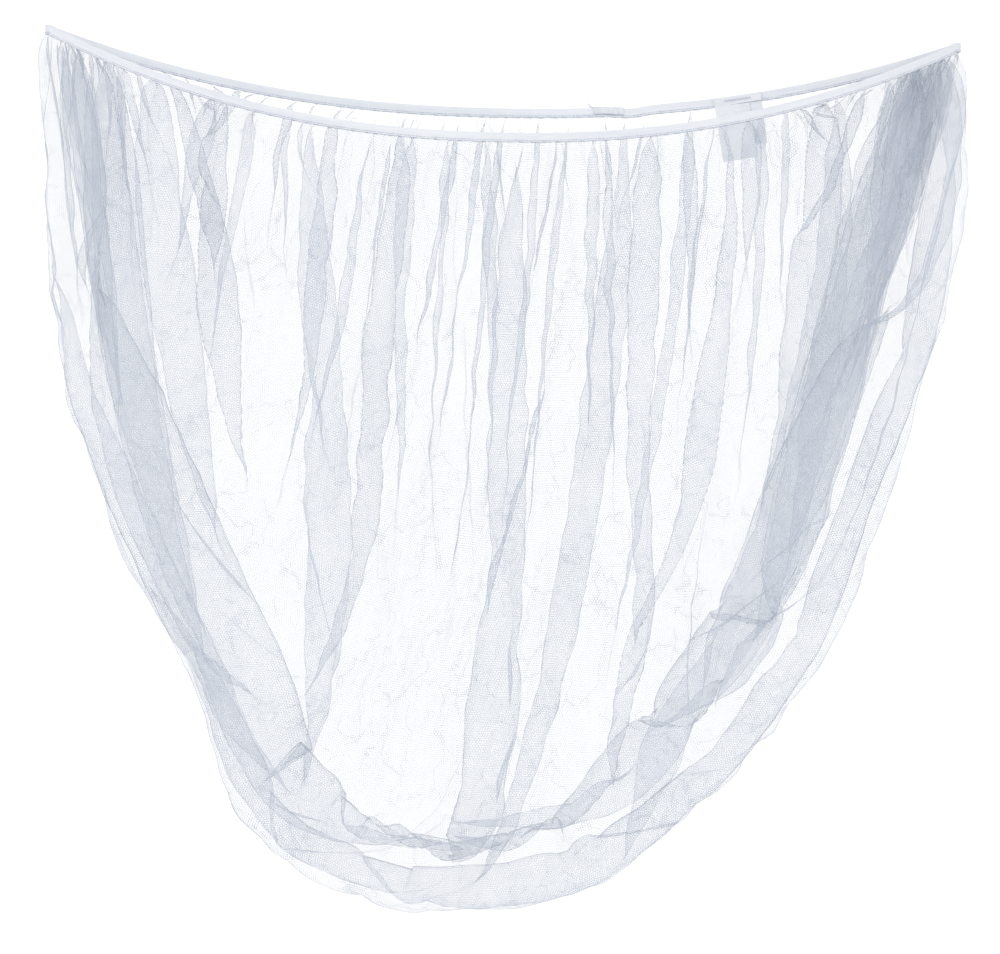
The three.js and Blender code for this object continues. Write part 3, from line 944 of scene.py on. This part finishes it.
def fold_over(strip, half_top, drop):
    """Folds both sides of a flat strip down along two creases."""
    top = 1e-5
    for side in (1, -1):
        def turn_down(side=side):
            bpy.ops.transform.rotate(
                value=side * math.pi / 2, orient_axis="X", center_override=(0, side * half_top, 0)
            )
        edit_where(strip, lambda co: side * co.y > half_top + top, turn_down)
    strip.data.transform(Matrix.Translation((0, 0, drop)))


def folded_tape(start, length, steps, inside, top, bottom, seed, closed):
    """Tape folded over whatever lies inside it, puckered by its gathers, and laid on the rim."""
    half = (inside + TAPE_WALL) / 2
    face = top - TAPE_WALL / 2 - bottom
    flat = 2 * (face + half)
    tape = flat_strip(start, length, flat, steps, 18)
    fold_over(tape, half, top - TAPE_WALL / 2)
    co = places(tape)
    down = np.clip((top - co[:, 2]) / (top - bottom), 0, 1)
    side = np.sign(co[:, 1])
    pucker = ripple(co[:, 0], seed, 150, 420) * 0.6 + ripple(co[:, 0] + 0.004 * side, seed + 1, 60, 150)
    waist = 0.6 * np.sin(down * math.pi) * ripple(co[:, 0], seed + 2, 20, 70)
    co[:, 1] += side * 0.00010 * (pucker * down + waist)
    co[:, 2] += 0.00012 * down * ripple(co[:, 0] + 0.01 * side, seed + 3, 90, 330)
    set_places(tape, co)
    follow_rim(tape)
    if closed:
        make_active(tape)
        bpy.ops.object.mode_set(mode="EDIT")
        bpy.ops.mesh.select_all(action="SELECT")
        bpy.ops.mesh.remove_doubles(threshold=5e-5)
        bpy.ops.object.mode_set(mode="OBJECT")
    wall = tape.modifiers.new("cloth thickness", "SOLIDIFY")
    wall.thickness = TAPE_WALL * 0.92
    wall.offset = 0
    apply_modifiers(tape)
    face_out(tape)
    return tape


def thread_line(name, points, radius, steps=6):
    """A round thread through points, as a closed mesh."""
    deselect_all()
    line = bpy.data.curves.new(name, "CURVE")
    line.dimensions = "3D"
    line.bevel_depth = radius
    line.bevel_resolution = 1
    line.use_fill_caps = True
    line.resolution_u = steps
    spline = line.splines.new("BEZIER")
    spline.bezier_points.add(len(points) - 1)
    for knot, point in zip(spline.bezier_points, points):
        knot.co = point
        knot.handle_left_type = knot.handle_right_type = "AUTO"
    thread = bpy.data.objects.new(name, line)
    bpy.context.scene.collection.objects.link(thread)
    make_active(thread)
    bpy.ops.object.convert(target="MESH")
    return bpy.context.object


def join_pieces(parts):
    deselect_all()
    for part in parts:
        part.select_set(True)
    bpy.context.view_layer.objects.active = parts[0]
    bpy.ops.object.join()
    return bpy.context.object


def back_run_frame(x):
    """The place and turn of the back run at x: X along it, Y across it to the back, Z up from its middle."""
    ends = run_points(np.array([x - 0.001, x + 0.001]), 1)
    along = Vector(ends[1] - ends[0]).normalized()
    across = Vector((0, 0, 1)).cross(along).normalized()
    upward = along.cross(across)
    turn = Matrix((along, across, upward)).transposed().to_4x4()
    full = fullness(x)
    return Matrix.Translation((x, TURN_HALF_WIDTH + BACK_BOW * full, -BACK_SAG * full)) @ turn


# --- the pieces ----------------------------------------------------------------------------------


def creases(place):
    """How sharply the net is folded at each of its points, from 0 to 1. The heading in the tape has none."""
    turn = np.zeros(place.shape[:2])
    for axis in (0, 1):
        ahead = np.diff(place, axis=axis)
        ahead /= np.maximum(np.linalg.norm(ahead, axis=-1, keepdims=True), 1e-9)
        following = np.take(ahead, range(1, ahead.shape[axis]), axis)
        bend = 1 - np.sum(following * np.take(ahead, range(ahead.shape[axis] - 1), axis), -1)
        inner = (slice(1, -1), slice(None)) if axis == 0 else (slice(None), slice(1, -1))
        turn[inner] = np.maximum(turn[inner], bend)
    across = np.abs(np.linspace(-1, 1, turn.shape[0]))[:, None]
    down = np.abs(np.linspace(-1, 1, turn.shape[1]))[None, :]
    from_tape = (1 - np.maximum(across, down)) * CUT_LENGTH / 2
    return np.clip((turn - 0.06) / 0.6, 0, 1) * np.clip(from_tape / 0.03, 0, 1)


def make_net(look):
    place, flat = drape_net()
    columns, rows = place.shape[:2]
    numbers = np.arange(columns * rows).reshape(columns, rows)
    corners = [numbers[:-1, :-1], numbers[:-1, 1:], numbers[1:, 1:], numbers[1:, :-1]]
    faces = np.stack(corners, -1).reshape(-1, 4)
    mesh = bpy.data.meshes.new("insect_net")
    mesh.from_pydata(place.reshape(-1, 3).tolist(), [], faces.tolist())
    uv = (flat.reshape(-1, 2) / UV_SPAN + 0.5).astype(np.float32)
    mesh.uv_layers.new(name="UVMap").data.foreach_set("uv", uv[faces.ravel()].ravel())
    # The crease attribute thickens the net's threads there, and the material darkens their colour there as
    # painted shade.
    crease = mesh.attributes.new("crease", "FLOAT", "POINT")
    crease.data.foreach_set("value", creases(place).ravel().astype(np.float32))
    mesh.polygons.foreach_set("use_smooth", [True] * len(faces))
    net = bpy.data.objects.new("insect_net", mesh)
    bpy.context.scene.collection.objects.link(net)
    finish_piece(net, "insect_net", net_material(look))
    bend_with_mouth(net)
    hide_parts("net_front_wall", "net_back_wall")
    outline = flat[tuple(edge_of_grid(columns, rows).T)]
    after = np.roll(outline, -1, 0)


def make_tape(look):
    tape = folded_tape(0, RIM_LENGTH, 900, TAPE_INSIDE, TAPE_TOP, -TAPE_TOP, 31, True)
    finish_piece(tape, "binding_tape", tape_material(look))
    bend_with_mouth(tape)
    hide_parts("tape_front_run", "tape_back_run", "tape_left_turn", "tape_right_turn")


def make_elastic(look):
    elastic = flat_strip(0, RIM_LENGTH, ELASTIC_HEIGHT, 700, 10)
    make_active(elastic)
    bpy.ops.transform.rotate(value=math.pi / 2, orient_axis="X", center_override=(0, 0, 0))
    apply_place(elastic)
    co = places(elastic)
    co[:, 1] += 0.00007 * np.sin(co[:, 2] / ELASTIC_HEIGHT * 5 * math.tau)
    co[:, 2] += ELASTIC_MIDDLE
    set_places(elastic, co)
    follow_rim(elastic)
    wall = elastic.modifiers.new("elastic thickness", "SOLIDIFY")
    wall.thickness = ELASTIC_THICK * 0.9
    wall.offset = 0
    apply_modifiers(elastic)
    face_out(elastic, 5e-5)
    finish_piece(elastic, "rim_elastic", elastic_material(look))
    bend_with_mouth(elastic)
    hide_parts("elastic_front_run", "elastic_back_run", "elastic_left_turn", "elastic_right_turn")


def make_seam(look):
    """Lockstitches through the tape and the gathered net: one stitch is modelled, and repeated round the
    rim on both faces."""
    count = round(RIM_LENGTH / STITCH_PITCH)
    pitch = RIM_LENGTH / count
    rows = []
    for side in (1, -1):
        deselect_all()
        bpy.ops.mesh.primitive_cylinder_add(
            vertices=6,
            radius=THREAD_RADIUS,
            depth=pitch * 0.86,
            rotation=(0, math.pi / 2, 0),
            end_fill_type="TRIFAN",
        )
        stitch = bpy.context.object
        bpy.ops.object.transform_apply(location=False, rotation=True, scale=True)
        for cut in (-0.25, 0.0, 0.25):
            edit_where(
                stitch, lambda co: True,
                lambda cut=cut: bpy.ops.mesh.bisect(plane_co=(cut * pitch, 0, 0), plane_no=(1, 0, 0)),
            )
        co = places(stitch)
        reach = np.abs(co[:, 0]) / (pitch * 0.43)
        face = TAPE_INSIDE / 2 + TAPE_WALL + THREAD_RADIUS * 0.6
        co[:, 1] = side * face + co[:, 1] - side * 0.00034 * reach**3
        co[:, 2] = SEAM_LEVEL + co[:, 2] + 0.00005 * co[:, 0] / pitch
        co[:, 0] += pitch / 2
        set_places(stitch, co)
        repeat = stitch.modifiers.new("round the rim", "ARRAY")
        repeat.use_relative_offset = False
        repeat.use_constant_offset = True
        repeat.constant_offset_displace = (pitch, 0, 0)
        repeat.count = count
        apply_modifiers(stitch)
        rows.append(stitch)
    seam = join_pieces(rows)
    follow_rim(seam)
    face_out(seam)
    finish_piece(seam, "seam_stitches", thread_material(look))
    bend_with_mouth(seam)
    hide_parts("seam_front_run", "seam_back_run", "seam_left_turn", "seam_right_turn")


def make_lap(look):
    """The tape's end, lapped over its start, with the zigzag that closes it and a frayed thread end."""
    start = back_run_distance(LAP_X) - LAP_LENGTH / 2
    inside = TAPE_INSIDE + 2 * TAPE_WALL + 2 * GAP
    bottom = SEAM_LEVEL + THREAD_RADIUS + GAP
    top = TAPE_TOP + GAP + TAPE_WALL
    lap = folded_tape(start, LAP_LENGTH, 44, inside, top, bottom, 47, False)
    finish_piece(lap, "tape_lap_end", bpy.data.materials["white_woven_tape"])
    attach(lap, "hung_net")
    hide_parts("tape_lap")

    rng = np.random.default_rng(8)
    middle = (top + bottom) / 2
    face = inside / 2 + TAPE_WALL + THREAD_RADIUS
    zigzag = [
        (
            start + LAP_LENGTH / 2 + (8 - i) * 0.0011 + rng.normal() * 0.0001,
            -face,
            middle + (i % 2 - 0.5) * 0.0034,
        )
        for i in range(17)
    ]
    parts = [thread_line("zigzag", zigzag, THREAD_RADIUS, 3)]
    for end in range(6):
        reach = 0.006 + 0.004 * rng.random()
        bend = rng.normal() * 0.0012
        first = (start + LAP_LENGTH / 2 + 0.0088, -face, middle + 0.0012 + 0.0004 * rng.normal())
        tail = [first]
        for k in range(1, 5):
            way = k / 4
            tail.append((
                first[0] + reach * way,
                first[1] - 0.0006 * way + 0.0005 * rng.normal() * way,
                first[2] + 0.0030 * way + bend * way**2 + 0.0004 * rng.normal(),
            ))
        parts.append(thread_line(f"tail_{end}", tail, 0.00009, 4))
    tack = join_pieces(parts)
    follow_rim(tack)
    face_out(tack)
    finish_piece(tack, "lap_tack_thread", bpy.data.materials["sewing_thread"])
    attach(tack, "hung_net")
    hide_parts("lap_tack")


def ribbon(name, width, height, thick, x, back, top, curl, lean):
    """One flat of ribbon in the back run's own frame: it hangs from top, and curls as worn satin does."""
    deselect_all()
    bpy.ops.mesh.primitive_grid_add(x_subdivisions=30, y_subdivisions=44, size=1)
    leaf = bpy.context.object
    bpy.ops.transform.resize(value=(width, height, 1))
    bpy.ops.transform.rotate(value=math.pi / 2, orient_axis="X", center_override=(0, 0, 0))
    apply_place(leaf)
    co = places(leaf)
    down = np.clip(0.5 - co[:, 2] / height, 0, 1)
    side = co[:, 0] / width
    co[:, 1] = curl * (down**2) * (1 + 0.4 * side) + 0.0004 * down * np.sin(side * 5 + down * 3)
    co[:, 0] += lean * down**1.5 + x
    co[:, 1] += back - thick / 2
    co[:, 2] += top - height / 2 + 0.0006 * side * down
    set_places(leaf, co)
    wall = leaf.modifiers.new("ribbon thickness", "SOLIDIFY")
    wall.thickness = thick * 0.75
    wall.offset = 0
    apply_modifiers(leaf)
    leaf.data.transform(back_run_frame(LABEL_X))
    face_out(leaf)
    leaf.name = name
    return leaf


def make_label(look):
    material = label_material(look)
    back = -(TAPE_INSIDE / 2 + TAPE_WALL) - GAP
    head_thick = 2 * LABEL_THICK + GAP
    head_bottom = TAPE_TOP - LABEL_HEAD
    leaf_top = head_bottom - GAP * 0.5
    head_width = LABEL_WIDTH + BACK_LEAF_SHIFT
    head = ribbon("label_head", head_width, LABEL_HEAD, head_thick, BACK_LEAF_SHIFT / 2, back, TAPE_TOP, 0, 0)
    finish_piece(head, "label_sewn_head", material)
    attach(head, "hung_net")
    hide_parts("label_head")
    front_plane = back - LABEL_THICK - GAP
    front = ribbon(
        "front", LABEL_WIDTH, LABEL_LENGTH, LABEL_THICK, 0, front_plane, leaf_top, *FRONT_LEAF_BEND
    )
    finish_piece(front, "label_front_ribbon", material)
    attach(front, "care_label")
    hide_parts("label_front_leaf")
    shorter = LABEL_LENGTH - BACK_LEAF_SHORTER
    rear = ribbon(
        "rear", LABEL_WIDTH, shorter, LABEL_THICK, BACK_LEAF_SHIFT, back, leaf_top, *BACK_LEAF_BEND
    )
    finish_piece(rear, "label_back_ribbon", material)
    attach(rear, "care_label")
    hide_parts("label_back_leaf")
    face = back - head_thick - THREAD_RADIUS
    points = [
        (BACK_LEAF_SHIFT / 2 + (i - 8) * 0.0012, face, TAPE_TOP - LABEL_HEAD / 2 + (i % 2 - 0.5) * 0.0013)
        for i in range(17)
    ]
    tack = thread_line("tack", points, THREAD_RADIUS, 3)
    tack.data.transform(back_run_frame(LABEL_X))
    face_out(tack)
    finish_piece(tack, "label_tack_thread", bpy.data.materials["sewing_thread"])
    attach(tack, "hung_net")
    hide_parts("label_tack")


# --- the stage -----------------------------------------------------------------------------------


def make_stage(look):
    deselect_all()
    bpy.ops.mesh.primitive_plane_add(size=3.2, location=(0, 0, -1.1))
    floor = bpy.context.object
    floor.name = "floor"
    apply_place(floor)
    bevel = floor.modifiers.new("soft edge", "SOLIDIFY")
    bevel.thickness = 0.02
    bevel.offset = -1
    apply_modifiers(floor)
    floor.data.materials.append(floor_material())

    world = bpy.data.worlds.new("white_studio")
    bpy.context.scene.world = world
    world.use_nodes = True
    tree = world.node_tree
    tree.nodes.clear()
    white = {"Color": (1.0, 1.0, 1.0, 1.0), "Strength": look.backdrop_strength}
    cool = {"Color": (0.95, 0.97, 1.0, 1.0), "Strength": look.room_strength}
    seen = add_node(tree, "ShaderNodeBackground", white)
    light = add_node(tree, "ShaderNodeBackground", cool)
    direct = add_node(tree, "ShaderNodeLightPath").outputs["Is Camera Ray"]
    both = add_node(tree, "ShaderNodeMixShader", {0: direct, 1: light.outputs[0], 2: seen.outputs[0]})
    add_node(tree, "ShaderNodeOutputWorld", {"Surface": both.outputs[0]})

    for name, place, size, power in (
        ("key_light", (-1.6, -2.4, 1.3), 1.6, look.light_power),
        ("fill_light", (2.0, -2.0, 0.4), 1.8, look.light_power * 0.55),
        ("back_light", (0.3, 2.4, 1.0), 2.0, look.light_power * 0.6),
    ):
        deselect_all()
        bpy.ops.object.light_add(type="AREA", location=place)
        lamp = bpy.context.object
        lamp.name = name
        lamp.data.shape = "DISK"
        lamp.data.size = size
        lamp.data.energy = power
        aim = Vector((0, 0, -0.3)) - Vector(place)
        lamp.rotation_euler = aim.to_track_quat("-Z", "Y").to_euler()

    data = bpy.data.cameras.new("camera")
    camera = bpy.data.objects.new("camera", data)
    bpy.context.scene.collection.objects.link(camera)
    bpy.context.scene.camera = camera
    distance, width, roll = 5.0, 0.715, math.radians(1.13)
    data.sensor_width = 36
    data.lens = 36 * distance / width
    data.clip_start, data.clip_end = 0.05, 50
    tilt = math.radians(look.camera_elevation)
    backward = Vector((0, -math.cos(tilt), math.sin(tilt)))
    level = Vector((1, 0, 0))
    upward = backward.cross(level)
    right = level * math.cos(roll) + upward * math.sin(roll)
    upward = backward.cross(right)
    target = Vector((0.0041, 0, -0.3132))
    turn = Matrix((right, upward, backward)).transposed().to_4x4()
    camera.matrix_world = Matrix.Translation(target + backward * distance) @ turn

    scene = bpy.context.scene
    scene.view_settings.view_transform = "Standard"
    scene.view_settings.look = "None"
    scene.cycles.transparent_max_bounces = 96


# --- the add-on ----------------------------------------------------------------------------------


def colour_property(name, description, default):
    return bpy.props.FloatVectorProperty(
        name=name, description=description, subtype="COLOR", size=4, min=0, max=1, default=default
    )


class InsectNetLook(bpy.types.PropertyGroup):
    """The sizes and colours of the net that a user would change."""

    net_pitch: bpy.props.FloatProperty(
        name="Mesh pitch", description="From one hole of the net to the next", default=0.0019, unit="LENGTH"
    )
    net_thread: bpy.props.FloatProperty(
        name="Net thread", description="Width of the net's threads", default=0.00014, unit="LENGTH"
    )
    tape_flat: bpy.props.FloatProperty(
        name="Tape width",
        description="Width of the binding tape before it is folded",
        default=0.0146,
        unit="LENGTH",
    )
    net_colour: colour_property("Net", "Colour of the net's threads", (0.72, 0.76, 0.83, 1.0))
    tape_colour: colour_property("Tape", "Colour of the binding tape", (0.96, 0.965, 0.98, 1.0))
    elastic_colour: colour_property("Elastic", "Colour of the elastic", (0.85, 0.85, 0.84, 1.0))
    thread_colour: colour_property("Thread", "Colour of the sewing thread", (0.64, 0.67, 0.74, 1.0))
    label_colour: colour_property("Label", "Colour of the blank care label", (0.97, 0.975, 0.985, 1.0))
    backdrop_strength: bpy.props.FloatProperty(
        name="Backdrop", description="Brightness of the white backdrop", default=1.12, min=0
    )
    room_strength: bpy.props.FloatProperty(
        name="Room light", description="Brightness of the light that the backdrop gives", default=0.80, min=0
    )
    light_power: bpy.props.FloatProperty(
        name="Lamp power", description="Power of the key lamp", default=16.0, min=0, unit="POWER"
    )
    camera_elevation: bpy.props.FloatProperty(
        name="Camera elevation", description="Degrees above the level", default=0.5
    )


def look_of(context):
    return context.scene.insect_net_look


class INSECTNET_OT_stage(bpy.types.Operator):
    """Adds the floor, the lights, the white backdrop and the camera"""

    bl_idname = "insectnet.stage"
    bl_label = "Stage"

    def execute(self, context):
        make_stage(look_of(context))
        return {"FINISHED"}


class INSECTNET_OT_net(bpy.types.Operator):
    """Hangs the net: drapes its flat cut from the rim"""

    bl_idname = "insectnet.net"
    bl_label = "Net"

    def execute(self, context):
        make_net(look_of(context))
        return {"FINISHED"}


class INSECTNET_OT_tape(bpy.types.Operator):
    """Folds the binding tape over the net's edge, all round the rim"""

    bl_idname = "insectnet.tape"
    bl_label = "Binding tape"

    def execute(self, context):
        make_tape(look_of(context))
        return {"FINISHED"}


class INSECTNET_OT_elastic(bpy.types.Operator):
    """Lays the elastic inside the tape"""

    bl_idname = "insectnet.elastic"
    bl_label = "Elastic"

    def execute(self, context):
        make_elastic(look_of(context))
        return {"FINISHED"}


class INSECTNET_OT_seam(bpy.types.Operator):
    """Sews the tape to the net, stitch by stitch"""

    bl_idname = "insectnet.seam"
    bl_label = "Seam"

    def execute(self, context):
        make_seam(look_of(context))
        return {"FINISHED"}


class INSECTNET_OT_lap(bpy.types.Operator):
    """Laps the tape's end over its start, and tacks it"""

    bl_idname = "insectnet.lap"
    bl_label = "Tape lap"

    def execute(self, context):
        make_lap(look_of(context))
        return {"FINISHED"}


class INSECTNET_OT_label(bpy.types.Operator):
    """Sews the two-leaf care label to the back run"""

    bl_idname = "insectnet.label"
    bl_label = "Care label"

    def execute(self, context):
        make_label(look_of(context))
        return {"FINISHED"}


OPERATORS = (
    INSECTNET_OT_stage,
    INSECTNET_OT_tape,
    INSECTNET_OT_elastic,
    INSECTNET_OT_seam,
    INSECTNET_OT_lap,
    INSECTNET_OT_label,
    INSECTNET_OT_net,
)


class INSECTNET_PT_panel(bpy.types.Panel):
    """Lists the net's sizes, colours and pieces"""

    bl_label = "Insect net"
    bl_idname = "INSECTNET_PT_panel"
    bl_space_type = "VIEW_3D"
    bl_region_type = "UI"
    bl_category = "Net"

    def draw(self, context):
        look = look_of(context)
        for name in InsectNetLook.__annotations__:
            self.layout.prop(look, name)
        for operator in OPERATORS:
            self.layout.operator(operator.bl_idname)


def register():
    for item in (InsectNetLook, *OPERATORS, INSECTNET_PT_panel):
        bpy.utils.register_class(item)
    bpy.types.Scene.insect_net_look = bpy.props.PointerProperty(type=InsectNetLook)


def unregister():
    del bpy.types.Scene.insect_net_look
    for item in (INSECTNET_PT_panel, *reversed(OPERATORS), InsectNetLook):
        bpy.utils.unregister_class(item)


def main():
    register()
    bpy.ops.insectnet.stage()
    bpy.ops.insectnet.tape()
    bpy.ops.insectnet.elastic()
    bpy.ops.insectnet.seam()
    bpy.ops.insectnet.lap()
    bpy.ops.insectnet.label()
    bpy.ops.insectnet.net()


if __name__ == "__main__":
    main()
